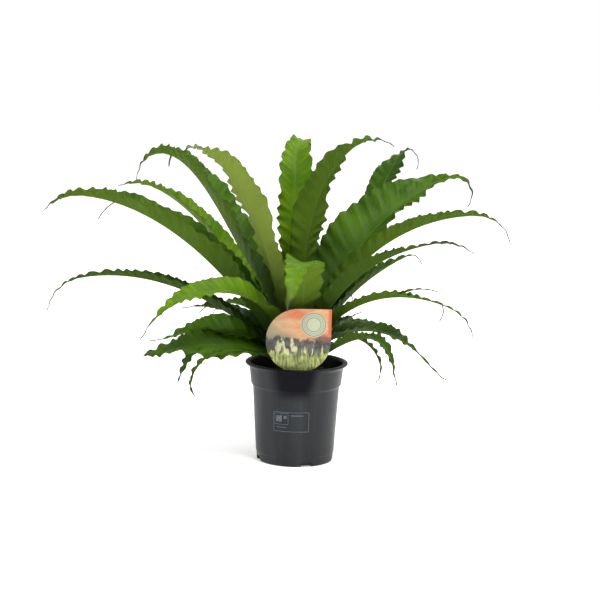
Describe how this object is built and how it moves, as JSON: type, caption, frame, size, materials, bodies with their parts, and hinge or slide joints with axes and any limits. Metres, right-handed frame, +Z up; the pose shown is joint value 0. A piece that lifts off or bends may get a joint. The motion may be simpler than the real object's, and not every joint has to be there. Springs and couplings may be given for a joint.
{
  "type": "potted fern",
  "caption": "Wavy-edged bird's nest fern: long arching fronds on a short crown, in a round plastic nursery pot of compost, with a flat plant label pushed in at the front.",
  "frame": {"origin": "centre of the flat underside of the pot, on the pot's axis", "axes": "+Z up along the pot's axis, -Y towards the front with the plant label, +X to the right seen from the front"},
  "size_m": [0.5475, 0.3937, 0.3762],
  "materials": {
    "pot_plastic": "satin black plastic with faint vertical streaks",
    "compost": "matte dark peaty crumbs",
    "crown_fibre": "matte brown fibrous scales",
    "label_print": "smooth printed plastic card",
    "frond_leaf": "satin green leaf, paler beneath, with brown drying tips"
  },
  "bodies": {
    "root": {"pot": "pot_plastic", "compost": "compost", "crown": "crown_fibre", "plant_label": "label_print", "frond_crest_1": "frond_leaf", "frond_crest_2": "frond_leaf", "frond_crest_3": "frond_leaf", "frond_arch_1": "frond_leaf", "frond_arch_2": "frond_leaf", "frond_arch_3": "frond_leaf", "frond_arch_4": "frond_leaf", "frond_side_1": "frond_leaf", "frond_side_2": "frond_leaf", "frond_side_3": "frond_leaf", "frond_side_4": "frond_leaf", "frond_side_5": "frond_leaf", "frond_skirt_1": "frond_leaf", "frond_skirt_2": "frond_leaf", "frond_skirt_3": "frond_leaf", "frond_skirt_4": "frond_leaf", "frond_skirt_5": "frond_leaf", "frond_low_1": "frond_leaf", "frond_low_2": "frond_leaf", "frond_low_3": "frond_leaf", "frond_low_4": "frond_leaf", "frond_low_5": "frond_leaf", "frond_low_6": "frond_leaf", "frond_rear_1": "frond_leaf", "frond_rear_2": "frond_leaf", "frond_rear_3": "frond_leaf", "frond_rear_4": "frond_leaf", "frond_rear_5": "frond_leaf", "frond_rear_6": "frond_leaf", "frond_rear_7": "frond_leaf", "frond_rear_8": "frond_leaf"}
  },
  "joints": []
}
